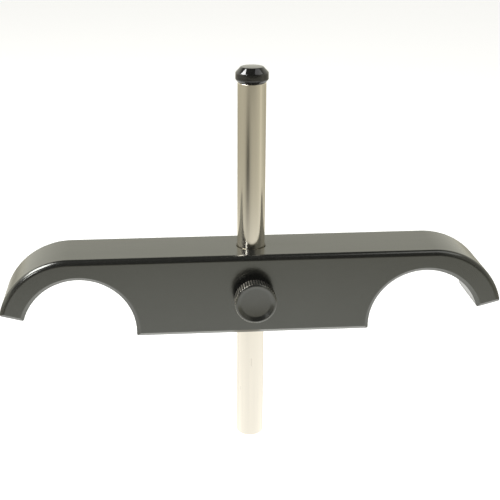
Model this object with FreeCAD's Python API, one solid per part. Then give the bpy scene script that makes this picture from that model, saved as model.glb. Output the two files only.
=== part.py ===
"""Lens support: a machined bridge bar with a saddle at each end, a height-adjustable support rod
through its middle, and a knurled thumbscrew that clamps the rod.

Millimetres. The origin is where the rod's axis crosses the line between the two saddles' centres,
at the middle of the bar's depth. +X runs along the bar, -Y is the thumbscrew's side and +Z is up
the rod. The pieces are drawn clamped, with the rod at the height that it stands at.
"""
import math
import os

import FreeCAD, Part

# Bridge bar
SADDLE_PITCH = 104.0        # between the centres of the two saddles
SADDLE_RADIUS = 16.95
TOP_HEIGHT = 23.35          # top face above the saddles' centres
BOTTOM_DROP = 1.45          # bottom face below the saddles' centres
BAR_DEPTH = 20.1            # front face to back face
END_RADIUS = 21.7           # outer curve of each arm
END_OFFSET = 2.35           # outer curve's centre, outwards from the saddle's centre
ARM_END_ANGLE = 15.0        # degrees that an arm's end face stands above the saddle's centre
OUTER_ROUND = 1.65          # along the top and the outer curves, front and back
INNER_CHAMFER = 1.2         # along the saddles, undersides and arms' ends, front and back
CORNER_ROUND = 0.7          # where the saddles meet the undersides and the arms' ends

# Support rod
ROD_RADIUS = 4.15
ROD_TOP = 72.9
ROD_BOTTOM = -40.4
ROD_TOP_CHAMFER = 0.35
ROD_BOTTOM_CHAMFER = 0.65
ROD_CLEARANCE = 0.05        # radial, rod in the bar's bore
BORE_CHAMFER = 0.4          # both mouths of the bar's bore

# Rod cap
CAP_TOP_RADIUS = 3.3
CAP_TOP_ROUND = 0.15
CAP_CONE_HEIGHT = 1.6
CAP_RADIUS = 4.8
CAP_BAND_HEIGHT = 1.95
CAP_BEVEL_HEIGHT = 0.8      # under the band
CAP_UNDERSIDE_RADIUS = 4.1
CAP_NECK_RADIUS = 3.75
CAP_NECK_HEIGHT = 0.1
SPIGOT_RADIUS = 2.0
SPIGOT_LENGTH = 6.0
SPIGOT_CHAMFER = 0.3
SPIGOT_CLEARANCE = 0.02     # radial, glued into the rod
SPIGOT_END_GAP = 0.5        # between the spigot and the bottom of its hole

# Thumbscrew
SCREW_HEIGHT = 11.05        # its axis above the saddles' centres
HEAD_GAP = 2.8              # bar's front face to the back of the knurled head
HEAD_THICKNESS = 4.1
HEAD_RADIUS = 6.15
HEAD_FRONT_CHAMFER = 0.45
HEAD_BACK_CHAMFER = 0.3
HEAD_RIM = 0.3              # width of the flat ring round the dish
DISH_FLOOR_RADIUS = 4.4
DISH_DEPTH = 0.7
DISH_FLOOR_THICKNESS = 1.2  # between the dish and the stud's end
KNURL_COUNT = 48
KNURL_DEPTH = 0.25
KNURL_GROOVE_SHARE = 2 / 3  # of the knurl's pitch, at the head's full radius
NECK_RADIUS = 4.0
NECK_LENGTH = 1.3
STUD_RADIUS = 2.5
STUD_CHAMFER = 0.5
STUD_CLEARANCE = 0.02       # radial, glued into the head
THREAD_CLEARANCE = 0.06     # radial, stud in the bar's screw hole
SCREW_HOLE_CHAMFER = 0.35

# Clamp pad
PAD_RADIUS = 2.0
PAD_LENGTH = 2.2            # along its axis, from the middle of the hollow face
PAD_CHAMFER = 0.3
PAD_CLEARANCE = 0.06        # radial, in the bar's plain hole
PAD_ROD_GAP = 0.03          # hollow face to the rod
PAD_STUD_GAP = 0.03         # back of the pad to the stud's tip
THREAD_RUNOUT = 0.4         # thread beyond the stud's tip, towards the rod

FRONT_FACE = -BAR_DEPTH / 2
BORE_RADIUS = ROD_RADIUS + ROD_CLEARANCE
SCREW_HOLE_RADIUS = STUD_RADIUS + THREAD_CLEARANCE
PAD_HOLE_RADIUS = PAD_RADIUS + PAD_CLEARANCE
HEAD_BACK = FRONT_FACE - HEAD_GAP
HEAD_FRONT = HEAD_BACK - HEAD_THICKNESS
DISH_FLOOR = HEAD_FRONT + DISH_DEPTH
STUD_FRONT = DISH_FLOOR + DISH_FLOOR_THICKNESS
PAD_FACE_RADIUS = ROD_RADIUS + PAD_ROD_GAP
PAD_BACK = -PAD_FACE_RADIUS - PAD_LENGTH
STUD_TIP = PAD_BACK - PAD_STUD_GAP
THREAD_END = STUD_TIP + THREAD_RUNOUT
SPIGOT_TIP = ROD_TOP - SPIGOT_LENGTH

CENTRE = FreeCAD.Vector(0, 0, 0)
UP = FreeCAD.Vector(0, 0, 1)
BACKWARDS = FreeCAD.Vector(0, 1, 0)
SCREW_PLACE = FreeCAD.Vector(0, 0, SCREW_HEIGHT)
TOLERANCE = 1e-4


def vector(x, y, z):
    return FreeCAD.Vector(x, y, z)


def polygon_face(points):
    return Part.Face(Part.makePolygon(points + points[:1]))


def turned_upright(profile):
    """A solid turned about the Z axis, from (radius, z) points."""
    points = [vector(radius, 0, z) for radius, z in profile]
    return polygon_face(points).revolve(CENTRE, UP, 360)


def turned_on_screw_axis(profile):
    """A solid turned about the thumbscrew's axis, from (radius, y) points."""
    points = [vector(radius, y, 0) for radius, y in profile]
    turned = polygon_face(points).revolve(CENTRE, BACKWARDS, 360)
    turned.translate(SCREW_PLACE)
    return turned


def round_ended_prism(half_length, radius, centre_height, depth):
    """A prism along X with half-round ends and its depth along Y."""
    front = -depth / 2
    top = centre_height + radius
    bottom = centre_height - radius
    top_left = vector(-half_length, front, top)
    top_right = vector(half_length, front, top)
    bottom_left = vector(-half_length, front, bottom)
    bottom_right = vector(half_length, front, bottom)
    right_end = vector(half_length + radius, front, centre_height)
    left_end = vector(-half_length - radius, front, centre_height)
    edges = [
        Part.makeLine(top_left, top_right),
        Part.Arc(top_right, right_end, bottom_right).toShape(),
        Part.makeLine(bottom_right, bottom_left),
        Part.Arc(bottom_left, left_end, top_left).toShape(),
    ]
    return Part.Face(Part.Wire(edges)).extrude(vector(0, depth, 0))


def face_edges(solid, depth):
    """The edges that lie wholly in the front face or wholly in the back face."""
    found = []
    for edge in solid.Edges:
        box = edge.BoundBox
        flat = box.YLength < TOLERANCE
        if flat and abs(abs(box.YMin) - depth / 2) < TOLERANCE:
            found.append(edge)
    return found


def tapered_prism(first, second):
    """A solid with flat sides between two outlines, which match point for point."""
    faces = [polygon_face(first), polygon_face(second)]
    for index in range(len(first)):
        faces.append(polygon_face([first[index - 1], first[index], second[index], second[index - 1]]))
    return Part.makeSolid(Part.makeShell(faces))


def underside_outline(growth, y):
    """The outline of the space under the undersides and the arms' ends, grown into the bar."""
    saddle = SADDLE_PITCH / 2
    reach = END_OFFSET + 2 * END_RADIUS
    slope = math.radians(ARM_END_ANGLE)
    lift = growth / math.cos(slope)
    right = [
        (saddle, growth - BOTTOM_DROP),
        (saddle, lift),
        (saddle + reach, lift + reach * math.tan(slope)),
        (saddle + reach, -2 * END_RADIUS),
    ]
    left = [(-x, z) for x, z in reversed(right)]
    return [vector(x, y, z) for x, z in right + left]


def milled_space():
    """What is milled away below the bar: both saddles, and the space under the flat undersides."""
    depth = 2 * BAR_DEPTH
    front = -depth / 2
    space = polygon_face(underside_outline(0, front)).extrude(vector(0, depth, 0))
    for x in (-SADDLE_PITCH / 2, SADDLE_PITCH / 2):
        space = space.fuse(Part.makeCylinder(SADDLE_RADIUS, depth, vector(x, front, 0), BACKWARDS))
    return space


def chamfer_space(side):
    """The milled space flared out through the front face, side -1, or the back face, side 1."""
    inner_y = side * (BAR_DEPTH / 2 - INNER_CHAMFER)
    outer_y = side * (BAR_DEPTH / 2 + INNER_CHAMFER)
    growth = 2 * INNER_CHAMFER
    outwards = vector(0, side, 0)
    space = tapered_prism(underside_outline(0, inner_y), underside_outline(growth, outer_y))
    for x in (-SADDLE_PITCH / 2, SADDLE_PITCH / 2):
        start = vector(x, inner_y, 0)
        flare = Part.makeCone(SADDLE_RADIUS, SADDLE_RADIUS + growth, growth, start, outwards)
        space = space.fuse(flare)
    return space


def corner_edges(solid, space):
    """The edges along Y that a space leaves in a solid it was cut from."""
    found = []
    for edge in solid.Edges:
        box = edge.BoundBox
        along_y = box.XLength < TOLERANCE and box.ZLength < TOLERANCE
        middle = edge.valueAt((edge.FirstParameter + edge.LastParameter) / 2)
        if along_y and space.isInside(middle, TOLERANCE, True):
            found.append(edge)
    return found


def rod_bore():
    """The vertical bore, with a chamfered mouth in the top face and one in the bottom face."""
    mouth = BORE_RADIUS + BORE_CHAMFER
    top = TOP_HEIGHT
    bottom = -BOTTOM_DROP
    return turned_upright([
        (0, bottom - BORE_CHAMFER),
        (mouth + BORE_CHAMFER, bottom - BORE_CHAMFER),
        (BORE_RADIUS, bottom + BORE_CHAMFER),
        (BORE_RADIUS, top - BORE_CHAMFER),
        (mouth + BORE_CHAMFER, top + BORE_CHAMFER),
        (0, top + BORE_CHAMFER),
    ])


def screw_hole():
    """The hole from the front face to the bore: the thread's, then a plain one for the pad."""
    mouth = SCREW_HOLE_RADIUS + SCREW_HOLE_CHAMFER
    return turned_on_screw_axis([
        (0, FRONT_FACE - SCREW_HOLE_CHAMFER),
        (mouth + SCREW_HOLE_CHAMFER, FRONT_FACE - SCREW_HOLE_CHAMFER),
        (SCREW_HOLE_RADIUS, FRONT_FACE + SCREW_HOLE_CHAMFER),
        (SCREW_HOLE_RADIUS, THREAD_END),
        (PAD_HOLE_RADIUS, THREAD_END),
        (PAD_HOLE_RADIUS, 0),
        (0, 0),
    ])


def bridge_bar():
    half_length = SADDLE_PITCH / 2 + END_OFFSET
    stock = round_ended_prism(half_length, END_RADIUS, TOP_HEIGHT - END_RADIUS, BAR_DEPTH)
    stock = stock.makeFillet(OUTER_ROUND, face_edges(stock, BAR_DEPTH))
    space = milled_space()
    bar = stock.cut(space)
    bar = bar.makeFillet(CORNER_ROUND, corner_edges(bar, space))
    bar = bar.cut(chamfer_space(-1)).cut(chamfer_space(1))
    return bar.cut(rod_bore()).cut(screw_hole())


def support_rod():
    """The rod, with a blind hole for the cap's spigot in its top end."""
    hole_radius = SPIGOT_RADIUS + SPIGOT_CLEARANCE
    hole_bottom = SPIGOT_TIP - SPIGOT_END_GAP
    return turned_upright([
        (0, ROD_BOTTOM),
        (ROD_RADIUS - ROD_BOTTOM_CHAMFER, ROD_BOTTOM),
        (ROD_RADIUS, ROD_BOTTOM + ROD_BOTTOM_CHAMFER),
        (ROD_RADIUS, ROD_TOP - ROD_TOP_CHAMFER),
        (ROD_RADIUS - ROD_TOP_CHAMFER, ROD_TOP),
        (hole_radius, ROD_TOP),
        (hole_radius, hole_bottom),
        (0, hole_bottom),
    ])


def rod_cap():
    """The cap that the lens rests on, with a neck on the rod's end and a spigot inside it."""
    underside = ROD_TOP + CAP_NECK_HEIGHT
    band_bottom = underside + CAP_BEVEL_HEIGHT
    band_top = band_bottom + CAP_BAND_HEIGHT
    top = band_top + CAP_CONE_HEIGHT
    cap = turned_upright([
        (0, SPIGOT_TIP),
        (SPIGOT_RADIUS - SPIGOT_CHAMFER, SPIGOT_TIP),
        (SPIGOT_RADIUS, SPIGOT_TIP + SPIGOT_CHAMFER),
        (SPIGOT_RADIUS, ROD_TOP),
        (CAP_NECK_RADIUS, ROD_TOP),
        (CAP_NECK_RADIUS, underside),
        (CAP_UNDERSIDE_RADIUS, underside),
        (CAP_RADIUS, band_bottom),
        (CAP_RADIUS, band_top),
        (CAP_TOP_RADIUS, top),
        (0, top),
    ])
    rims = []
    for edge in cap.Edges:
        box = edge.BoundBox
        if box.ZLength < TOLERANCE and box.ZMin > band_bottom - TOLERANCE:
            rims.append(edge)
    return cap.makeFillet(CAP_TOP_ROUND, rims)


def knurl_grooves():
    """Straight V grooves along the thumbscrew's head, evenly spaced round its axis."""
    pitch = 2 * math.pi * HEAD_RADIUS / KNURL_COUNT
    half_width = KNURL_GROOVE_SHARE * pitch / 2
    start = HEAD_FRONT - KNURL_DEPTH
    length = HEAD_THICKNESS + 2 * KNURL_DEPTH
    outline = [
        vector(0, start, HEAD_RADIUS - KNURL_DEPTH),
        vector(2 * half_width, start, HEAD_RADIUS + KNURL_DEPTH),
        vector(-2 * half_width, start, HEAD_RADIUS + KNURL_DEPTH),
    ]
    groove = polygon_face(outline).extrude(vector(0, length, 0))
    grooves = []
    for index in range(KNURL_COUNT):
        copy = groove.copy()
        copy.rotate(CENTRE, BACKWARDS, index * 360 / KNURL_COUNT)
        copy.translate(SCREW_PLACE)
        grooves.append(copy)
    return grooves


def thumbscrew_head():
    rim_radius = HEAD_RADIUS - HEAD_FRONT_CHAMFER
    socket_radius = STUD_RADIUS + STUD_CLEARANCE
    neck_end = HEAD_BACK + NECK_LENGTH
    head = turned_on_screw_axis([
        (0, DISH_FLOOR),
        (DISH_FLOOR_RADIUS, DISH_FLOOR),
        (rim_radius - HEAD_RIM, HEAD_FRONT),
        (rim_radius, HEAD_FRONT),
        (HEAD_RADIUS, HEAD_FRONT + HEAD_FRONT_CHAMFER),
        (HEAD_RADIUS, HEAD_BACK - HEAD_BACK_CHAMFER),
        (HEAD_RADIUS - HEAD_BACK_CHAMFER, HEAD_BACK),
        (NECK_RADIUS, HEAD_BACK),
        (NECK_RADIUS, neck_end),
        (socket_radius, neck_end),
        (socket_radius, STUD_FRONT),
        (0, STUD_FRONT),
    ])
    return head.cut(knurl_grooves())


def thumbscrew_stud():
    """The threaded stud, drawn at the thread's outer diameter and glued into the head."""
    return turned_on_screw_axis([
        (0, STUD_FRONT),
        (STUD_RADIUS, STUD_FRONT),
        (STUD_RADIUS, STUD_TIP - STUD_CHAMFER),
        (STUD_RADIUS - STUD_CHAMFER, STUD_TIP),
        (0, STUD_TIP),
    ])


def clamp_pad():
    """The slug that the stud presses on the rod, hollowed to the rod's curve."""
    pad = turned_on_screw_axis([
        (0, PAD_BACK),
        (PAD_RADIUS - PAD_CHAMFER, PAD_BACK),
        (PAD_RADIUS, PAD_BACK + PAD_CHAMFER),
        (PAD_RADIUS, 0),
        (0, 0),
    ])
    start = vector(0, 0, SCREW_HEIGHT - 2 * PAD_RADIUS)
    return pad.cut(Part.makeCylinder(PAD_FACE_RADIUS, 4 * PAD_RADIUS, start, UP))


def main():
    os.makedirs("parts", exist_ok=True)
    pieces = {
        "bridge_bar": bridge_bar(),
        "support_rod": support_rod(),
        "rod_cap": rod_cap(),
        "thumbscrew_head": thumbscrew_head(),
        "thumbscrew_stud": thumbscrew_stud(),
        "clamp_pad": clamp_pad(),
    }
    for name, piece in pieces.items():
        piece.exportStep(f"parts/{name}.step")
        print(name, "volume", round(piece.Volume, 1), "mm3, sound", piece.isValid())


main()
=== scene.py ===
"""Lens support: a machined bridge bar with a saddle at each end, a steel rod with a black cap, and
a knurled thumbscrew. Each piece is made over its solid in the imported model, in metres.

The origin is where the rod's axis crosses the line between the two saddles' centres. +X runs along
the bar, -Y is the thumbscrew's side and +Z is up the rod.
"""
import math

import bmesh
import bpy
from bpy.props import FloatProperty, FloatVectorProperty, IntProperty, PointerProperty
from mathutils import Matrix, Vector


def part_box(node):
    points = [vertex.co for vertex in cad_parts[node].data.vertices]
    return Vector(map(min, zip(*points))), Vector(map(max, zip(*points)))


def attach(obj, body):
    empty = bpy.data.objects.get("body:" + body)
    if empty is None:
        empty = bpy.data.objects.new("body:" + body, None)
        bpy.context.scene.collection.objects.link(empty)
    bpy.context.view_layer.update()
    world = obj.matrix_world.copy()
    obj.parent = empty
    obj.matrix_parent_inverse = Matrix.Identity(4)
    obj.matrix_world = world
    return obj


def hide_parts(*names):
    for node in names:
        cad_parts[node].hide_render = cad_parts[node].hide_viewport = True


bl_info = {
    "name": "Lens Support",
    "version": (1, 0, 0),
    "blender": (4, 5, 0),
    "location": "3D View > Sidebar > Lens Support",
    "description": "Makes a lens support's pieces, finishes and studio",
    "category": "Object",
}

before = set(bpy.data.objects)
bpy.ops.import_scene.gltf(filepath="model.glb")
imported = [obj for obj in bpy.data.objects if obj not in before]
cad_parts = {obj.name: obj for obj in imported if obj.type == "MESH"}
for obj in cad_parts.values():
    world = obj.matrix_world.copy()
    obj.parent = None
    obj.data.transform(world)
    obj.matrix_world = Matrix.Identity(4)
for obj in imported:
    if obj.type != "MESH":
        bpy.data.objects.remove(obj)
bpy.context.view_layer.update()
BAR_LOW, BAR_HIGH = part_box("bridge_bar")
ROD_LOW, ROD_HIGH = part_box("support_rod")
CAP_LOW, CAP_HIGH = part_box("rod_cap")
HEAD_LOW, HEAD_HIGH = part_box("thumbscrew_head")
STUD_LOW, STUD_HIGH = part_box("thumbscrew_stud")

UP = Vector((0, 0, 1))
BACKWARDS = Vector((0, 1, 0))
SAME_PLACE = 2e-6
RIM_BREAK = 0.00006
RIM_TURN = math.radians(12)
CORNER_TURN = math.radians(20)
BACKGROUND_WHITE = (1, 1, 1)
SURROUNDINGS_TONE = (1, 0.985, 0.86)
NEAR_FLOOR_TONE = (1, 1, 0.97)
FAR_FLOOR_TONE = (1, 0.96, 0.78)


def length(name, description, default):
    return FloatProperty(
        name=name, description=description, default=default, min=0,
        precision=5, subtype="DISTANCE", unit="LENGTH")


def angle(name, description, degrees):
    return FloatProperty(
        name=name, description=description, default=math.radians(degrees),
        subtype="ANGLE", unit="ROTATION")


def share(name, description, default):
    return FloatProperty(
        name=name, description=description, default=default, min=0, max=1, subtype="FACTOR")


def colour(name, description, default):
    return FloatVectorProperty(
        name=name, description=description, default=default, min=0, max=1,
        size=3, subtype="COLOR")


class BarSettings(bpy.types.PropertyGroup):
    saddle_pitch: length("Saddle pitch", "Between the centres of the two saddles", 0.104)
    saddle_radius: length("Saddle radius", "Radius of the half-round saddles", 0.01695)
    end_radius: length("End radius", "Outer curve of each arm", 0.0217)
    end_offset: length(
        "End offset", "Outer curve's centre, outwards from the saddle's centre", 0.00235)
    arm_end_angle: angle(
        "Arm end angle", "How far an arm's end face stands above the saddle's centre", 15.0)
    outer_round: length("Outer round", "Along the top and the outer curves", 0.00165)
    inner_chamfer: length(
        "Inner chamfer", "Along the saddles, the undersides and the arms' ends", 0.0012)
    corner_round: length("Corner round", "Where saddles, undersides and ends meet", 0.0007)
    bore_radius: length("Bore radius", "Bore that the rod slides in", 0.0042)
    bore_chamfer: length("Bore chamfer", "Both mouths of the bore", 0.0004)
    hole_radius: length("Screw hole radius", "Hole that the thumbscrew turns in", 0.00256)
    hole_chamfer: length("Screw hole chamfer", "Mouth of the screw hole", 0.00035)
    hole_end: length("Screw hole end", "Wide part's end, in front of the rod's axis", 0.00601)
    pad_hole_radius: length("Pad hole radius", "Plain hole that the pad slides in", 0.00206)
    tone: colour("Anodising", "Satin black anodised aluminium", (0.118, 0.12, 0.111))
    roughness: share("Roughness", "Of the anodised faces", 0.2)


class RodSettings(bpy.types.PropertyGroup):
    top_chamfer: length("Top chamfer", "Rod's upper end", 0.00015)
    bottom_chamfer: length("Bottom chamfer", "Rod's lower end", 0.00065)
    hole_radius: length("Hole radius", "Blind hole for the cap's spigot", 0.00202)
    hole_depth: length("Hole depth", "Blind hole for the cap's spigot", 0.0065)
    long_scratch: FloatVectorProperty(
        name="Long scratch", description="Its place across the rod, lower end and upper end",
        default=(-0.00005, -0.0157, -0.0126), precision=5, unit="LENGTH")
    short_scratch: FloatVectorProperty(
        name="Short scratch", description="Its place across the rod, lower end and upper end",
        default=(-0.00323, -0.0244, -0.023), precision=5, unit="LENGTH")
    scratch_width: length("Scratch width", "From a scratch's middle to its soft edge", 0.00012)
    tone: colour("Steel", "Ground and polished steel", (0.84, 0.79, 0.7))
    edge_tone: colour("Steel's edges", "Tint where the rod turns away", (0.86, 0.84, 0.8))
    roughness: share("Roughness", "Of the ground steel", 0.18)


class CapSettings(bpy.types.PropertyGroup):
    top_radius: length("Top radius", "Flat that the lens rests on", 0.0033)
    top_round: length("Rim round", "Round on the cap's three upper rims", 0.0002)
    cone_height: length("Cone height", "Cone between the flat and the band", 0.0016)
    band_height: length("Band height", "Straight band round the cap", 0.00195)
    bevel_height: length("Bevel height", "Bevel under the band", 0.0008)
    underside_radius: length("Underside radius", "Flat underside", 0.0041)
    neck_radius: length("Neck radius", "Neck that sits on the rod's end", 0.00375)
    neck_height: length("Neck height", "Neck that sits on the rod's end", 0.0001)
    spigot_radius: length("Spigot radius", "Spigot glued into the rod", 0.002)
    spigot_chamfer: length("Spigot chamfer", "Spigot's lower end", 0.0003)
    tone: colour("Plastic", "Glossy black plastic", (0.012, 0.012, 0.011))
    roughness: share("Roughness", "Of the moulded plastic", 0.09)


class ThumbscrewSettings(bpy.types.PropertyGroup):
    thickness: length("Head thickness", "Knurled head, front to back", 0.0041)
    front_chamfer: length("Front chamfer", "Head's front rim", 0.00045)
    back_chamfer: length("Back chamfer", "Head's back rim", 0.0003)
    rim: length("Rim", "Width of the flat ring round the dish", 0.0003)
    dish_radius: length("Dish radius", "Flat floor of the dish", 0.0044)
    dish_depth: length("Dish depth", "Dish in the head's front", 0.0007)
    neck_radius: length("Neck radius", "Neck behind the head", 0.004)
    socket_radius: length("Socket radius", "Blind hole that holds the stud", 0.00252)
    knurl_count: IntProperty(
        name="Knurl count", description="Straight grooves round the head", default=48, min=3)
    knurl_depth: length("Knurl depth", "Depth of each groove", 0.00025)
    groove_share: share("Groove share", "Part of the knurl's pitch that is groove", 2 / 3)
    thread_pitch: length("Thread pitch", "Coarse pitch of the stud's thread", 0.0008)
    thread_depth: length("Thread depth", "Crest to root", 0.00049)
    thread_flat: share("Thread flat", "Part of the pitch that is flat at crest and root", 0.12)
    stud_chamfer: length("Stud chamfer", "Stud's tip", 0.0005)
    tone: colour("Anodising", "Satin black anodised aluminium", (0.116, 0.117, 0.109))
    roughness: share("Roughness", "Of the anodised head", 0.2)
    # Pale tone added on the knurl's crests: wear, plus a painted highlight that is stronger on the
    # left side
    worn_and_glint_tone: colour("Worn crests", "Added along the knurl's crests", (0.5, 0.47, 0.4))
    stud_tone: colour("Stud", "Plain machined steel", (0.52, 0.52, 0.5))
    stud_roughness: share("Stud roughness", "Of the machined steel", 0.3)
    pad_tone: colour("Pad", "Plain turned brass", (0.66, 0.48, 0.22))
    pad_roughness: share("Pad roughness", "Of the turned brass", 0.35)


class StudioSettings(bpy.types.PropertyGroup):
    camera_place: FloatVectorProperty(
        name="Camera place", description="Where the camera stands", precision=5,
        default=(-0.029137, -0.293175, 0.131244), subtype="XYZ", unit="LENGTH")
    yaw: angle("Yaw", "Camera's turn to the right of straight ahead", 4.048)
    pitch: angle("Pitch", "Camera's tilt downwards", 20.408)
    roll: angle("Roll", "Camera's lean", 0.1883)
    lens: FloatProperty(
        name="Focal length", description="On a sensor 36 mm wide", default=74.66,
        subtype="DISTANCE_CAMERA", unit="CAMERA")
    shift: FloatProperty(
        name="Shift", description="The photograph's framing to one side", default=0.0535,
        precision=4)
    floor_height: FloatProperty(
        name="Floor height", description="Below the rod's lowest place", default=-0.0925,
        precision=5, subtype="DISTANCE", unit="LENGTH")
    floor_reach: length("Floor reach", "From the middle of the floor to its sides", 2.5)
    floor_tone: colour("Floor", "Pale studio floor", (0.86, 0.86, 0.85))
    floor_glow: share("Floor glow", "Added where the camera sees the floor itself", 0.68)
    key_strength: FloatProperty(
        name="Key light", description="Softbox on the left", default=6.4, min=0, unit="POWER")
    accent_strength: FloatProperty(
        name="Accent light", description="Small softbox in front on the left", default=0.7, min=0,
        unit="POWER")
    fill_strength: FloatProperty(
        name="Fill light", description="Weak softbox above on the right", default=0.5, min=0,
        unit="POWER")


class Value:
    """A number on its way through a shader. Arithmetic on it adds Math nodes."""

    def __init__(self, shader, socket):
        self.shader = shader
        self.socket = socket

    def __add__(self, other):
        return self.shader.maths("ADD", self, other)

    def __sub__(self, other):
        return self.shader.maths("SUBTRACT", self, other)

    def __rsub__(self, other):
        return self.shader.maths("SUBTRACT", other, self)

    def __mul__(self, other):
        return self.shader.maths("MULTIPLY", self, other)

    def __truediv__(self, other):
        return self.shader.maths("DIVIDE", self, other)

    def __rtruediv__(self, other):
        return self.shader.maths("DIVIDE", other, self)

    def __pow__(self, other):
        return self.shader.maths("POWER", self, other)

    def __abs__(self):
        return self.shader.maths("ABSOLUTE", self)

    __radd__ = __add__
    __rmul__ = __mul__


class Shader:
    """The node tree of a material or a world."""

    def __init__(self, owner):
        owner.use_nodes = True
        self.owner = owner
        self.tree = owner.node_tree
        self.tree.nodes.clear()

    def make(self, kind, settings=None, sockets=None):
        """A node of that type: its settings first, then its sockets by name or number."""
        node = self.tree.nodes.new(kind)
        node.location = (220 * (len(self.tree.nodes) - 1), 0)
        for name, setting in (settings or {}).items():
            setattr(node, name, setting)
        for name, content in (sockets or {}).items():
            if isinstance(content, Value):
                self.tree.links.new(content.socket, node.inputs[name])
            else:
                node.inputs[name].default_value = content
        return node

    def value(self, node, output=0):
        return Value(self, node.outputs[output])

    def maths(self, operation, first, second=0.0):
        node = self.make("ShaderNodeMath", {"operation": operation}, {0: first, 1: second})
        return self.value(node)

    def object_place(self):
        return self.value(self.make("ShaderNodeTexCoord"), "Object")

    def parts(self, vector):
        """The X, Y and Z of a vector."""
        node = self.make("ShaderNodeSeparateXYZ", sockets={0: vector})
        return [self.value(node, name) for name in "XYZ"]

    def noise(self, vector, stretch, detail=2.0, roughness=0.5):
        """Noise between 0 and 1 with that many features to a metre along each axis."""
        mapping = self.make("ShaderNodeMapping", {"vector_type": "POINT"}, {
            "Vector": vector, "Scale": stretch})
        node = self.make("ShaderNodeTexNoise", {"noise_dimensions": "3D"}, {
            "Vector": self.value(mapping), "Scale": 1.0, "Detail": detail,
            "Roughness": roughness})
        return self.value(node, "Fac")

    def ramp(self, value, start, end, low=0.0, high=1.0):
        """A smooth change from low, where the value is at start, to high, at end."""
        node = self.make("ShaderNodeMapRange", {"interpolation_type": "SMOOTHSTEP"}, {
            "Value": value, "From Min": start, "From Max": end, "To Min": low, "To Max": high})
        return self.value(node)

    def blend(self, factor, first, second):
        """A colour between two, each given as three numbers."""
        node = self.make("ShaderNodeMix", {"data_type": "RGBA", "clamp_factor": True}, {
            0: factor, 6: (*first, 1), 7: (*second, 1)})
        return self.value(node, 2)

    def shades(self, tone, factor, spread):
        """A tone that runs from darker to brighter by that share."""
        return self.blend(factor, scaled(tone, 1 - spread), scaled(tone, 1 + spread))

    def added(self, first, second):
        """The sum of two colours."""
        node = self.make(
            "ShaderNodeMix", {"data_type": "RGBA", "blend_type": "ADD"},
            {0: 1.0, 6: first, 7: second})
        return self.value(node, 2)

    def bump(self, height, distance):
        """A normal that is tilted by a height between 0 and 1, which stands for that distance."""
        node = self.make("ShaderNodeBump", sockets={
            "Strength": 1.0, "Distance": distance, "Height": height})
        return self.value(node, "Normal")

    def surface(self, sockets):
        node = self.make("ShaderNodeBsdfPrincipled", sockets=sockets)
        output = self.make("ShaderNodeOutputMaterial")
        self.tree.links.new(node.outputs["BSDF"], output.inputs["Surface"])
        return self.owner


def scaled(tone, factor):
    """A tone made brighter or darker, up to white."""
    return tuple(min(1.0, channel * factor) for channel in tone)


def anodised_bar_material(settings):
    """Satin black anodising over the cutter's faint lines, which run along the bar."""
    shader = Shader(bpy.data.materials.new("bar_anodised"))
    place = shader.object_place()
    lines = shader.noise(place, (12, 3200, 12), 3.0, 0.6)
    bands = shader.noise(place, (9, 520, 9), 2.0)
    cloud = shader.noise(place, (45, 45, 45), 3.0)
    grain = shader.noise(place, (5200, 5200, 5200), 1.0)
    tone = shader.shades(settings.tone, cloud * 0.4 + bands * 0.6, 0.12)
    roughness = settings.roughness + (cloud - 0.5) * 0.05 + (lines - 0.5) * 0.12
    height = lines + grain * 0.1
    return shader.surface({
        "Base Color": tone, "Metallic": 0.85, "Roughness": roughness,
        "Normal": shader.bump(height, distance=3.5e-6)})


def ground_steel_material(settings):
    """Ground steel: fine marks round the rod, fainter ones along it, and two small scratches."""
    shader = Shader(bpy.data.materials.new("rod_steel"))
    place = shader.object_place()
    x, y, z = shader.parts(place)
    rings = shader.noise(place, (420, 420, 5200), 2.0, 0.6)
    streaks = shader.noise(place, (1500, 1500, 14), 3.0, 0.6)
    mottle = shader.noise(place, (700, 700, 260), 3.0, 0.6)
    worn = mottle * shader.ramp(z, 0.03, -0.01)
    tone = shader.shades(settings.tone, streaks * 0.7 + worn * 0.3, 0.07)
    roughness = settings.roughness + (streaks - 0.5) * 0.08 + (worn - 0.3) * 0.08
    in_front = shader.ramp(y, 0.0, -0.001)
    marks = 0.0
    for across, low, high in (settings.long_scratch, settings.short_scratch):
        middle = (low + high) / 2
        reach = (high - low) / 2
        line = shader.ramp(
            abs(x - across), settings.scratch_width / 3, settings.scratch_width, 1.0, 0.0)
        span = shader.ramp(abs(z - middle), reach * 0.8, reach, 1.0, 0.0)
        marks = line * span * in_front + marks
    height = rings * 0.6 + streaks * 0.8 + worn * 0.5 - marks * 3
    return shader.surface({
        "Base Color": tone, "Metallic": 1.0, "Roughness": roughness + marks * 0.25,
        "Specular Tint": (*settings.edge_tone, 1),
        "Normal": shader.bump(height, distance=2e-6)})


def gloss_plastic_material(settings):
    """Moulded black plastic with the faint waviness of its surface."""
    shader = Shader(bpy.data.materials.new("cap_plastic"))
    place = shader.object_place()
    cloud = shader.noise(place, (350, 350, 350), 2.0)
    grain = shader.noise(place, (3800, 3800, 3800), 2.0)
    tone = shader.blend(cloud, scaled(settings.tone, 0.8), scaled(settings.tone, 1.3))
    roughness = settings.roughness + (cloud - 0.5) * 0.06 + (grain - 0.5) * 0.05
    return shader.surface({
        "Base Color": tone, "Metallic": 0.0, "Roughness": roughness, "IOR": 1.7,
        "Normal": shader.bump(cloud * 4 + grain, distance=1.5e-6)})


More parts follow.
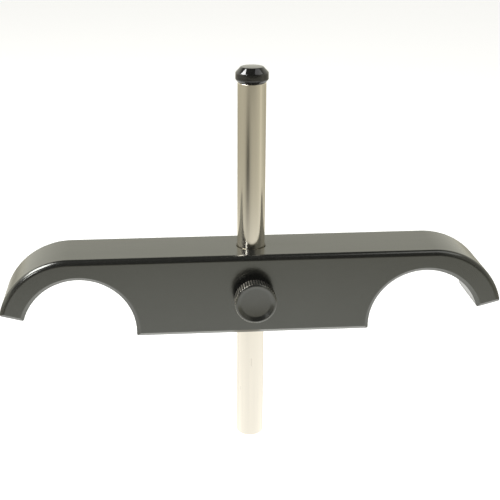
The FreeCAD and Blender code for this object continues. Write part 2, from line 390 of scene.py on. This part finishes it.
def anodised_head_material(settings, height, radius):
    """Satin black anodising over turning rings, worn pale along the knurl's crests, with a painted
    highlight that makes the crests paler still on the left, where the key light glints on them.
    """
    shader = Shader(bpy.data.materials.new("screw_anodised"))
    place = shader.object_place()
    x, y, z = shader.parts(place)
    rise = z - height
    distance = (x * x + rise * rise) ** 0.5
    outwards = shader.value(shader.make("ShaderNodeCombineXYZ", sockets={"X": distance}))
    rings = shader.noise(outwards, (1500, 1, 1), 2.0, 0.6)
    cloud = shader.noise(place, (160, 160, 160), 2.0)
    grain = shader.noise(place, (5200, 5200, 5200), 1.0)
    crest = shader.ramp(distance, radius - settings.knurl_depth * 0.7, radius)
    # Painted highlight: the crests are made paler on the left side, where the key light glints on
    # them
    glint_side = shader.ramp(x, 0.001, -0.003, 0.3, 1.0)
    patches = shader.ramp(shader.noise(place, (1500, 500, 1500), 2.0), 0.3, 0.6, 0.4, 1.0)
    # Crest wear and the painted highlight on the left side, in one mask
    worn = crest * glint_side * patches
    plain = shader.shades(settings.tone, cloud * 0.3 + rings * 0.7, 0.15)
    bare = shader.blend(worn, (0, 0, 0), settings.worn_and_glint_tone)
    tone = shader.added(plain, bare)
    roughness = settings.roughness + (cloud - 0.5) * 0.05 + (rings - 0.5) * 0.06 + worn * 0.3
    return shader.surface({
        "Base Color": tone, "Metallic": worn * 0.15 + 0.8, "Roughness": roughness,
        "Normal": shader.bump(rings + grain * 0.3, distance=3e-6)})


def turned_metal_material(name, tone, roughness):
    """Plain turned metal with fine marks round the thumbscrew's axis."""
    shader = Shader(bpy.data.materials.new(name))
    place = shader.object_place()
    marks = shader.noise(place, (600, 6000, 600), 2.0, 0.6)
    cloud = shader.noise(place, (300, 300, 300), 2.0)
    mixed = shader.blend(cloud, scaled(tone, 0.85), scaled(tone, 1.1))
    return shader.surface({
        "Base Color": mixed, "Metallic": 1.0,
        "Roughness": roughness + (marks - 0.5) * 0.12,
        "Normal": shader.bump(marks, distance=3e-6)})


def chain(bm, points):
    """Edges through the points, in their order."""
    verts = [bm.verts.new(point) for point in points]
    for start, end in zip(verts, verts[1:]):
        bm.edges.new((start, end))
    return verts


def turned(profile, axis, centre, steps):
    """A closed shape turned about Z or Y, from (radius, height along the axis) points."""
    bm = bmesh.new()
    chain(bm, [centre + Vector((radius, 0, 0)) + axis * along for radius, along in profile])
    bmesh.ops.spin(
        bm, geom=bm.verts[:] + bm.edges[:], cent=centre, axis=axis, dvec=(0, 0, 0),
        angle=2 * math.pi, steps=steps, use_merge=True)
    bmesh.ops.remove_doubles(bm, verts=bm.verts[:], dist=SAME_PLACE / 4)
    bmesh.ops.recalc_face_normals(bm, faces=bm.faces[:])
    return bm


def bevelled(bm, edges, offset, segments):
    bmesh.ops.bevel(
        bm, geom=edges, offset=offset, offset_type="OFFSET", affect="EDGES",
        segments=segments, profile=0.5, material=-1, clamp_overlap=False)


def corner_rings(bm, axis, centre, radii, heights):
    """Edges that run round the axis between those radii and heights, where the surface turns."""
    found = []
    for edge in bm.edges:
        start, end = [vert.co - centre for vert in edge.verts]
        along = start.dot(axis)
        radius = (start - axis * along).length
        round_the_axis = abs(end.dot(axis) - along) < SAME_PLACE
        chosen = radii[0] <= radius <= radii[1] and heights[0] <= along <= heights[1]
        if round_the_axis and chosen and edge.calc_face_angle(0) > RIM_TURN:
            found.append(edge)
    return found


def whole_mesh(bm, name):
    mesh = bpy.data.meshes.new(name)
    bm.to_mesh(mesh)
    bm.free()
    return mesh


def cut_away(mesh, cutters):
    """The mesh with each cutter's shape taken out of it."""
    piece = bpy.data.objects.new("stock", mesh)
    bpy.context.scene.collection.objects.link(piece)
    tools = []
    for cutter in cutters:
        tool = bpy.data.objects.new("cutter", cutter)
        bpy.context.scene.collection.objects.link(tool)
        step = piece.modifiers.new("cut", "BOOLEAN")
        step.operation = "DIFFERENCE"
        step.solver = "EXACT"
        step.object = tool
        tools.append(tool)
    graph = bpy.context.evaluated_depsgraph_get()
    result = bpy.data.meshes.new_from_object(piece.evaluated_get(graph))
    for leftover in [piece, *tools]:
        data = leftover.data
        bpy.data.objects.remove(leftover)
        bpy.data.meshes.remove(data)
    return result


def dress(mesh, name, body, node, material, sharp_angle=30.0):
    """Puts a finished mesh in the scene in its node's place, with smooth shading and a finish."""
    if not mesh.polygons:
        raise RuntimeError(f"{name} has no faces")
    mesh.name = name
    mesh.materials.clear()
    mesh.materials.append(material)
    mesh.shade_smooth()
    mesh.set_sharp_from_angle(angle=math.radians(sharp_angle))
    piece = bpy.data.objects.new(name, mesh)
    bpy.context.scene.collection.objects.link(piece)
    normals = piece.modifiers.new("even_shading", "WEIGHTED_NORMAL")
    normals.mode = "FACE_AREA"
    normals.keep_sharp = True
    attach(piece, body)
    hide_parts(node)
    return piece


def bar_outline(bm, sizes, y):
    """Half of the bar's outline as edges, spun where it curves, then mirrored to the whole."""
    saddle = sizes.saddle_pitch / 2
    curve = Vector((saddle + sizes.end_offset, y, BAR_HIGH.z - sizes.end_radius))
    slope = sizes.arm_end_angle
    along = Vector((math.cos(slope), 0, math.sin(slope)))
    centre = Vector((saddle, y, 0))
    back = (centre - curve).dot(along)
    reach = math.sqrt(back ** 2 - (centre - curve).length_squared + sizes.end_radius ** 2) - back
    tip = centre + along * reach - curve
    outer_turn = math.pi / 2 - math.atan2(tip.z, tip.x)
    drop = math.asin(-BAR_LOW.z / sizes.saddle_radius)
    saddle_turn = math.pi + drop - slope

    top = chain(bm, [(0, y, BAR_HIGH.z), (curve.x, y, BAR_HIGH.z)])
    outer = bmesh.ops.spin(
        bm, geom=[top[1]], cent=curve, axis=BACKWARDS, dvec=(0, 0, 0), angle=outer_turn,
        steps=30)
    inside = bm.verts.new(centre + along * sizes.saddle_radius)
    bm.edges.new((outer["geom_last"][0], inside))
    arch = bmesh.ops.spin(
        bm, geom=[inside], cent=centre, axis=BACKWARDS, dvec=(0, 0, 0), angle=-saddle_turn,
        steps=64)
    bottom = bm.verts.new((0, y, BAR_LOW.z))
    bm.edges.new((arch["geom_last"][0], bottom))
    bmesh.ops.mirror(
        bm, geom=bm.verts[:] + bm.edges[:], matrix=Matrix.Identity(4),
        merge_dist=SAME_PLACE, axis="X")
    bmesh.ops.remove_doubles(bm, verts=bm.verts[:], dist=SAME_PLACE)


def is_outside(place, sizes):
    """Whether a place lies on the bar's top face or on an arm's outer curve."""
    curve_x = sizes.saddle_pitch / 2 + sizes.end_offset
    curve_z = BAR_HIGH.z - sizes.end_radius
    if abs(place.x) <= curve_x + SAME_PLACE:
        return abs(place.z - BAR_HIGH.z) < SAME_PLACE
    distance = math.hypot(abs(place.x) - curve_x, place.z - curve_z)
    return abs(distance - sizes.end_radius) < SAME_PLACE


def is_milled(place, sizes):
    """Whether a place lies on a saddle, on a flat underside or on an arm's end face."""
    x = abs(place.x) - sizes.saddle_pitch / 2
    on_saddle = abs(math.hypot(x, place.z) - sizes.saddle_radius) < SAME_PLACE
    underneath = abs(place.z - BAR_LOW.z) < SAME_PLACE
    slope = sizes.arm_end_angle
    on_end = abs(place.z * math.cos(slope) - x * math.sin(slope)) < SAME_PLACE and x > 0
    return on_saddle or underneath or on_end


def milled_corners(bm, sizes, outer):
    """Edges where a milled face ends at a corner, at an arm's outer end or along a saddle."""
    limit = sizes.saddle_pitch / 2 + sizes.saddle_radius + sizes.outer_round
    milled = set()
    for face in bm.faces:
        if all(is_milled(vert.co, sizes) for vert in face.verts):
            milled.add(face)
    found = []
    for edge in bm.edges:
        touching = [face for face in edge.link_faces if face in milled]
        start, end = [vert.co for vert in edge.verts]
        in_one_face = abs(start.y - end.y) < SAME_PLACE and abs(start.y) > BAR_HIGH.y - SAME_PLACE
        at_outer_end = max(abs(start.x), abs(end.x)) > limit
        corner = edge.calc_face_angle(0) > CORNER_TURN
        if touching and corner and not in_one_face and at_outer_end == outer:
            found.append(edge)
    return found


def underside_loop(bm, sizes, growth, y):
    """Round the space under the undersides and the arms' ends, grown into the bar."""
    saddle = sizes.saddle_pitch / 2
    reach = sizes.end_offset + 2 * sizes.end_radius
    slope = sizes.arm_end_angle
    lift = growth / math.cos(slope)
    right = [
        (saddle, y, growth + BAR_LOW.z),
        (saddle, y, lift),
        (saddle + reach, y, lift + reach * math.tan(slope)),
        (saddle + reach, y, -2 * sizes.end_radius),
    ]
    left = [(-x, y, z) for x, y, z in reversed(right)]
    loop = chain(bm, right + left)
    bm.edges.new((loop[-1], loop[0]))


def chamfer_cutters(sizes, side):
    """What the chamfer along the milled faces takes off, in front with side -1, behind with 1."""
    chamfer = sizes.inner_chamfer
    overlap = chamfer / 8
    inner_y = side * (BAR_HIGH.y - chamfer - overlap)
    outer_y = side * (BAR_HIGH.y + chamfer)
    radius = sizes.saddle_radius
    bm = bmesh.new()
    underside_loop(bm, sizes, -overlap, inner_y)
    underside_loop(bm, sizes, 2 * chamfer, outer_y)
    bmesh.ops.bridge_loops(bm, edges=bm.edges[:])
    bmesh.ops.holes_fill(bm, edges=bm.edges[:], sides=0)
    bmesh.ops.recalc_face_normals(bm, faces=bm.faces[:])
    cutters = [whole_mesh(bm, "underside")]
    for x in (-sizes.saddle_pitch / 2, sizes.saddle_pitch / 2):
        flare = turned([
            (0, inner_y),
            (radius - overlap, inner_y),
            (radius + 2 * chamfer, outer_y),
            (0, outer_y),
        ], BACKWARDS, Vector((x, 0, 0)), steps=192)
        cutters.append(whole_mesh(flare, "saddle"))
    return cutters


def machined_bar(sizes):
    """The bar's stock, rounded outside, then round what is milled away, then drilled."""
    depth = BAR_HIGH.y - BAR_LOW.y
    bm = bmesh.new()
    bar_outline(bm, sizes, BAR_LOW.y)
    bmesh.ops.contextual_create(bm, geom=bm.edges[:])
    made = bmesh.ops.extrude_face_region(bm, geom=bm.faces[:])
    moved = [item for item in made["geom"] if isinstance(item, bmesh.types.BMVert)]
    bmesh.ops.translate(bm, vec=BACKWARDS * depth, verts=moved)
    bmesh.ops.recalc_face_normals(bm, faces=bm.faces[:])
    outer = []
    for edge in bm.edges:
        start, end = [vert.co for vert in edge.verts]
        flat = abs(start.y - end.y) < SAME_PLACE
        if flat and is_outside(start, sizes) and is_outside(end, sizes):
            outer.append(edge)
    bevelled(bm, outer, sizes.outer_round, segments=8)
    for at_outer_end in (False, True):
        corners = milled_corners(bm, sizes, at_outer_end)
        bevelled(bm, corners, sizes.corner_round, segments=5)
    mesh = whole_mesh(bm, "bar")

    bore = sizes.bore_radius
    mouth = bore + 2 * sizes.bore_chamfer
    chamfer = sizes.bore_chamfer
    bore_cutter = turned([
        (0, BAR_LOW.z - chamfer),
        (mouth, BAR_LOW.z - chamfer),
        (bore, BAR_LOW.z + chamfer),
        (bore, BAR_HIGH.z - chamfer),
        (mouth, BAR_HIGH.z + chamfer),
        (0, BAR_HIGH.z + chamfer),
    ], UP, Vector(), steps=96)
    hole = sizes.hole_radius
    screw_cutter = turned([
        (0, BAR_LOW.y - sizes.hole_chamfer),
        (hole + 2 * sizes.hole_chamfer, BAR_LOW.y - sizes.hole_chamfer),
        (hole, BAR_LOW.y + sizes.hole_chamfer),
        (hole, -sizes.hole_end),
        (sizes.pad_hole_radius, -sizes.hole_end),
        (sizes.pad_hole_radius, 0),
        (0, 0),
    ], BACKWARDS, screw_centre(), steps=64)
    cutters = [whole_mesh(bore_cutter, "bore"), whole_mesh(screw_cutter, "screw_hole")]
    cutters += chamfer_cutters(sizes, -1) + chamfer_cutters(sizes, 1)
    return cut_away(mesh, cutters)


def screw_centre():
    """Where the thumbscrew's axis crosses the rod's."""
    return Vector((0, 0, (HEAD_LOW.z + HEAD_HIGH.z) / 2))


def ground_rod(sizes):
    radius = ROD_HIGH.x
    bm = turned([
        (0, ROD_LOW.z),
        (radius - sizes.bottom_chamfer, ROD_LOW.z),
        (radius, ROD_LOW.z + sizes.bottom_chamfer),
        (radius, ROD_HIGH.z - sizes.top_chamfer),
        (radius - sizes.top_chamfer, ROD_HIGH.z),
        (sizes.hole_radius, ROD_HIGH.z),
        (sizes.hole_radius, ROD_HIGH.z - sizes.hole_depth),
        (0, ROD_HIGH.z - sizes.hole_depth),
    ], UP, Vector(), steps=128)
    radii = (sizes.hole_radius * 1.1, radius * 1.1)
    heights = (ROD_LOW.z - SAME_PLACE, ROD_HIGH.z + SAME_PLACE)
    bevelled(bm, corner_rings(bm, UP, Vector(), radii, heights), RIM_BREAK, segments=2)
    return whole_mesh(bm, "rod")


def moulded_cap(sizes):
    spigot = sizes.spigot_radius
    seat = ROD_HIGH.z
    underside = seat + sizes.neck_height
    band = underside + sizes.bevel_height
    shoulder = band + sizes.band_height
    top = shoulder + sizes.cone_height
    radius = CAP_HIGH.x
    bm = turned([
        (0, CAP_LOW.z),
        (spigot - sizes.spigot_chamfer, CAP_LOW.z),
        (spigot, CAP_LOW.z + sizes.spigot_chamfer),
        (spigot, seat),
        (sizes.neck_radius, seat),
        (sizes.neck_radius, underside),
        (sizes.underside_radius, underside),
        (radius, band),
        (radius, shoulder),
        (sizes.top_radius, top),
        (0, top),
    ], UP, Vector(), steps=128)
    rims = corner_rings(
        bm, UP, Vector(), (sizes.top_radius * 0.9, radius * 1.1), (band * 0.999, top * 1.001))
    bevelled(bm, rims, sizes.top_round, segments=4)
    return whole_mesh(bm, "cap")


def knurled_head(sizes):
    """The head turned in a few steps to each groove, whose verts are then sunk to its sides."""
    steps_to_groove = 6
    front = HEAD_LOW.y
    back = front + sizes.thickness
    neck_end = HEAD_HIGH.y
    centre = screw_centre()
    radius = (HEAD_HIGH.x - HEAD_LOW.x) / 2
    rim = radius - sizes.front_chamfer
    floor = front + sizes.dish_depth
    socket = STUD_LOW.y
    bm = turned([
        (0, floor),
        (sizes.dish_radius, floor),
        (rim - sizes.rim, front),
        (rim, front),
        (radius, front + sizes.front_chamfer),
        (radius, back - sizes.back_chamfer),
        (radius - sizes.back_chamfer, back),
        (sizes.neck_radius, back),
        (sizes.neck_radius, neck_end),
        (sizes.socket_radius, neck_end),
        (sizes.socket_radius, socket),
        (0, socket),
    ], BACKWARDS, centre, steps=sizes.knurl_count * steps_to_groove)
    radii = (sizes.dish_radius * 0.95, rim * 1.001)
    rims = corner_rings(bm, BACKWARDS, centre, radii, (front - SAME_PLACE, floor + SAME_PLACE))
    bevelled(bm, rims, RIM_BREAK, segments=2)
    pitch = 2 * math.pi / sizes.knurl_count
    middle = (front + back) / 2
    for vert in bm.verts:
        place = vert.co - centre
        distance = math.hypot(place.x, place.z)
        turn = math.atan2(place.x, place.z) / pitch % 1
        off_middle = 2 * min(turn, 1 - turn)
        sunk = sizes.knurl_depth * max(0.0, 1 - off_middle / sizes.groove_share)
        excess = distance - (radius - sunk)
        if excess > SAME_PLACE:
            vert.co.x -= place.x * excess / distance
            vert.co.z -= place.z * excess / distance
            vert.co.y += excess if place.y > middle else -excess
    return whole_mesh(bm, "head")


def threaded_stud(sizes):
    """A real thread, spun along a helix, cut square at both ends and chamfered at its tip."""
    centre = screw_centre()
    crest = (STUD_HIGH.x - STUD_LOW.x) / 2
    root = crest - sizes.thread_depth
    pitch = sizes.thread_pitch
    flat = sizes.thread_flat
    steps = 32
    start = STUD_LOW.y - pitch
    turns = math.ceil((STUD_HIGH.y - STUD_LOW.y) / pitch) + 2
    bm = bmesh.new()
    ridge = ((root, 0), (root, flat), (crest, 0.5), (crest, 0.5 + flat), (root, 1))
    chain(bm, [centre + Vector((radius, start + pitch * part, 0)) for radius, part in ridge])
    bmesh.ops.spin(
        bm, geom=bm.verts[:] + bm.edges[:], cent=centre, axis=BACKWARDS,
        dvec=BACKWARDS * pitch / steps, angle=2 * math.pi * turns, steps=steps * turns)
    bmesh.ops.remove_doubles(bm, verts=bm.verts[:], dist=SAME_PLACE)
    for y, outwards in ((STUD_LOW.y, -1), (STUD_HIGH.y, 1)):
        cut = bmesh.ops.bisect_plane(
            bm, geom=bm.verts[:] + bm.edges[:] + bm.faces[:], dist=SAME_PLACE / 10,
            plane_co=(0, y, 0), plane_no=BACKWARDS * outwards, clear_outer=True)
        rim = [item for item in cut["geom_cut"] if isinstance(item, bmesh.types.BMEdge)]
        bmesh.ops.holes_fill(bm, edges=rim, sides=0)
    tip_radius = crest - sizes.stud_chamfer
    for vert in bm.verts:
        place = vert.co - centre
        distance = math.hypot(place.x, place.z)
        allowed = tip_radius + STUD_HIGH.y - vert.co.y
        if distance > allowed:
            vert.co.x *= allowed / distance
            vert.co.z = centre.z + place.z * allowed / distance
    bmesh.ops.recalc_face_normals(bm, faces=bm.faces[:])
    return whole_mesh(bm, "stud")


class MakeBar(bpy.types.Operator):
    """Makes the machined bridge bar with its saddles, bore and screw hole"""
    bl_idname = "lens_support.make_bar"
    bl_label = "Bridge Bar"

    def execute(self, context):
        settings = context.scene.lens_support_bar
        dress(
            machined_bar(settings), "machined_bar", "bar", "bridge_bar",
            anodised_bar_material(settings))
        return {"FINISHED"}


class MakeRod(bpy.types.Operator):
    """Makes the ground steel rod"""
    bl_idname = "lens_support.make_rod"
    bl_label = "Support Rod"

    def execute(self, context):
        settings = context.scene.lens_support_rod
        dress(
            ground_rod(settings), "ground_rod", "rod", "support_rod",
            ground_steel_material(settings))
        return {"FINISHED"}


class MakeCap(bpy.types.Operator):
    """Makes the moulded cap on the rod's upper end"""
    bl_idname = "lens_support.make_cap"
    bl_label = "Rod Cap"

    def execute(self, context):
        settings = context.scene.lens_support_cap
        dress(
            moulded_cap(settings), "moulded_cap", "rod", "rod_cap",
            gloss_plastic_material(settings))
        return {"FINISHED"}


class MakeThumbscrew(bpy.types.Operator):
    """Makes the knurled head and the threaded stud, and finishes the clamp pad"""
    bl_idname = "lens_support.make_thumbscrew"
    bl_label = "Thumbscrew"

    def execute(self, context):
        settings = context.scene.lens_support_screw
        height = screw_centre().z
        radius = (HEAD_HIGH.x - HEAD_LOW.x) / 2
        dress(
            knurled_head(settings), "knurled_head", "thumbscrew", "thumbscrew_head",
            anodised_head_material(settings, height, radius))
        steel = turned_metal_material("stud_steel", settings.stud_tone, settings.stud_roughness)
        dress(
            threaded_stud(settings), "threaded_stud", "thumbscrew", "thumbscrew_stud",
            steel)
        brass = turned_metal_material("pad_brass", settings.pad_tone, settings.pad_roughness)
        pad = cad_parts["clamp_pad"]
        pad.data.materials.clear()
        pad.data.materials.append(brass)
        return {"FINISHED"}


def round_patch(x, y, centre, reach, strength):
    """Light or shade that is strongest at its centre and fades along X and Y over its reach."""
    across = (x - centre[0]) / reach[0]
    along = (y - centre[1]) / reach[1]
    return strength / (1 + across * across + along * along) ** 2


def mirrored_floor(shader, x, y):
    """What glossy faces mirror of the floor: bright ground with patches of light and shade."""
    ground = 0.5
    pool_area = 0.11
    strip_slope = 0.3
    strip_width = 0.14
    spread = (x * x + y * y) / pool_area
    pool = 0.62 / (1 + spread ** 4)
    shade = round_patch(x, y, (-0.28, -0.42), (0.2, 0.2), 0.56)
    spot = round_patch(x, y, (-0.1, 0.28), (0.13, 0.13), 0.4)
    glow = round_patch(x, y, (0.0, 0.03), (0.1, 0.06), 0.7)
    off_strip = (y + x * strip_slope) / strip_width
    strip = shader.ramp(x, 0.2, 0.5, 0.0, 0.22) / (1 + off_strip * off_strip)
    behind = shader.ramp(y, 0.5, 1.2, 0.0, 0.45)
    front = shader.ramp(y, -1.25, -0.6, 0.35, 1.0)
    near = 1 / (1 + spread ** 3)
    return shader.make("ShaderNodeEmission", sockets={
        "Color": shader.blend(near, FAR_FLOOR_TONE, NEAR_FLOOR_TONE),
        "Strength": (pool + ground - shade + strip + spot + glow + behind) * front})


def studio_floor(settings):
    """A pale floor under the object, which the camera sees as white."""
    bm = bmesh.new()
    bmesh.ops.create_grid(bm, x_segments=1, y_segments=1, size=settings.floor_reach)
    bmesh.ops.translate(bm, vec=(0, 0, settings.floor_height), verts=bm.verts[:])
    mesh = whole_mesh(bm, "studio_floor")
    floor = bpy.data.objects.new("studio_floor", mesh)
    bpy.context.scene.collection.objects.link(floor)

    shader = Shader(bpy.data.materials.new("studio_floor"))
    x, y, z = shader.parts(shader.object_place())
    paths = shader.make("ShaderNodeLightPath")
    seen = shader.value(paths, "Is Camera Ray")
    mirrored = shader.value(paths, "Is Glossy Ray") + shader.value(paths, "Is Transmission Ray")
    matt = shader.make("ShaderNodeBsdfDiffuse", sockets={"Color": (*settings.floor_tone, 1)})
    white = shader.make("ShaderNodeEmission", sockets={
        "Color": (*BACKGROUND_WHITE, 1), "Strength": seen * settings.floor_glow})
    direct = shader.make("ShaderNodeAddShader", sockets={
        0: shader.value(matt), 1: shader.value(white)})
    image = mirrored_floor(shader, x, y)
    both = shader.make("ShaderNodeMixShader", sockets={
        0: mirrored, 1: shader.value(direct), 2: shader.value(image)})
    shader.make("ShaderNodeOutputMaterial", sockets={"Surface": shader.value(both)})
    mesh.materials.append(shader.owner)


def studio_world():
    """White to the camera. To all else, walls dimmer on the right and in front, and a dark
    ceiling with a paler part on the right."""
    world = bpy.data.worlds.new("studio_surroundings")
    bpy.context.scene.world = world
    shader = Shader(world)
    direction = shader.value(shader.make("ShaderNodeTexCoord"), "Generated")
    x, y, z = shader.parts(direction)
    paths = shader.make("ShaderNodeLightPath")
    seen = shader.value(paths, "Is Camera Ray")
    wall_level = 0.92
    gain_behind = 0.1
    loss_on_right = 0.14
    ceiling_level = 0.035
    front_wall = shader.ramp(y, -0.95, -0.3, 0.12, 1.0)
    walls = (wall_level + y * gain_behind - x * loss_on_right) * front_wall
    wall_top = shader.ramp(y, -0.5, 0.4, 0.0, 0.5)
    ceiling = shader.ramp(z - wall_top, 0.0, 0.22)
    paler = shader.ramp(x, 0.2, 0.7, 0.0, 0.38) * shader.ramp(z, 0.75, 0.9, 1.0, 0.0)
    around = walls * (1 - ceiling) + ceiling * (paler + ceiling_level)
    strength = seen + (1 - seen) * around
    background = shader.make("ShaderNodeBackground", sockets={
        "Color": shader.blend(seen, SURROUNDINGS_TONE, BACKGROUND_WHITE), "Strength": strength})
    shader.make("ShaderNodeOutputWorld", sockets={"Surface": shader.value(background)})


def softbox(name, direction, distance, width, height, lean, power):
    """A rectangular area light that faces the bar from that direction, leaning clockwise."""
    lamp = bpy.data.lights.new(name, "AREA")
    lamp.shape = "RECTANGLE"
    lamp.size = width
    lamp.size_y = height
    lamp.energy = power
    holder = bpy.data.objects.new(name, lamp)
    bpy.context.scene.collection.objects.link(holder)
    away = Vector(direction).normalized()
    holder.location = away * distance
    facing = away.to_track_quat("Z", "Y").to_matrix()
    holder.rotation_euler = (facing @ Matrix.Rotation(-lean, 3, "Z")).to_euler()
    holder.visible_camera = False


def photo_camera(settings):
    camera = bpy.data.cameras.new("photo_camera")
    camera.lens = settings.lens
    camera.shift_x = settings.shift
    camera.clip_start = 0.01
    camera.clip_end = 20
    holder = bpy.data.objects.new("photo_camera", camera)
    bpy.context.scene.collection.objects.link(holder)
    turn = (
        Matrix.Rotation(-settings.yaw, 4, "Z")
        @ Matrix.Rotation(math.pi / 2 - settings.pitch, 4, "X")
        @ Matrix.Rotation(-settings.roll, 4, "Z"))
    holder.matrix_world = Matrix.Translation(Vector(settings.camera_place)) @ turn
    bpy.context.scene.camera = holder


class MakeStudio(bpy.types.Operator):
    """Makes the pale floor, the soft lights, the surroundings and the camera"""
    bl_idname = "lens_support.make_studio"
    bl_label = "Studio"

    def execute(self, context):
        settings = context.scene.lens_support_studio
        studio_floor(settings)
        studio_world()
        softbox(
            "key_softbox", direction=(-0.655, -0.05, 0.755), distance=0.8, width=0.46,
            height=0.36, lean=math.radians(20), power=settings.key_strength)
        softbox(
            "accent_softbox", direction=(-0.63, -0.66, 0.41), distance=0.9, width=0.12,
            height=0.12, lean=0, power=settings.accent_strength)
        softbox(
            "fill_softbox", direction=(0.5, -0.14, 0.85), distance=0.7, width=0.4,
            height=0.4, lean=0, power=settings.fill_strength)
        photo_camera(settings)
        context.scene.view_settings.view_transform = "Standard"
        return {"FINISHED"}


class LensSupportPanel(bpy.types.Panel):
    bl_idname = "VIEW3D_PT_lens_support"
    bl_label = "Lens Support"
    bl_space_type = "VIEW_3D"
    bl_region_type = "UI"
    bl_category = "Lens Support"

    def draw(self, context):
        for operator, holder in STEPS:
            box = self.layout.box()
            box.operator(operator.bl_idname)
            settings = getattr(context.scene, holder)
            for name in settings.__annotations__:
                box.prop(settings, name)


STEPS = (
    (MakeBar, "lens_support_bar"),
    (MakeRod, "lens_support_rod"),
    (MakeCap, "lens_support_cap"),
    (MakeThumbscrew, "lens_support_screw"),
    (MakeStudio, "lens_support_studio"),
)
SETTINGS = {
    "lens_support_bar": BarSettings,
    "lens_support_rod": RodSettings,
    "lens_support_cap": CapSettings,
    "lens_support_screw": ThumbscrewSettings,
    "lens_support_studio": StudioSettings,
}


def register():
    for name, group in SETTINGS.items():
        bpy.utils.register_class(group)
        setattr(bpy.types.Scene, name, PointerProperty(type=group))
    for operator, name in STEPS:
        bpy.utils.register_class(operator)
    bpy.utils.register_class(LensSupportPanel)


def unregister():
    bpy.utils.unregister_class(LensSupportPanel)
    for operator, name in STEPS:
        bpy.utils.unregister_class(operator)
    for name, group in SETTINGS.items():
        delattr(bpy.types.Scene, name)
        bpy.utils.unregister_class(group)


def main():
    register()
    bpy.ops.lens_support.make_bar()
    bpy.ops.lens_support.make_rod()
    bpy.ops.lens_support.make_cap()
    bpy.ops.lens_support.make_thumbscrew()
    bpy.ops.lens_support.make_studio()


if __name__ == "__main__":
    main()
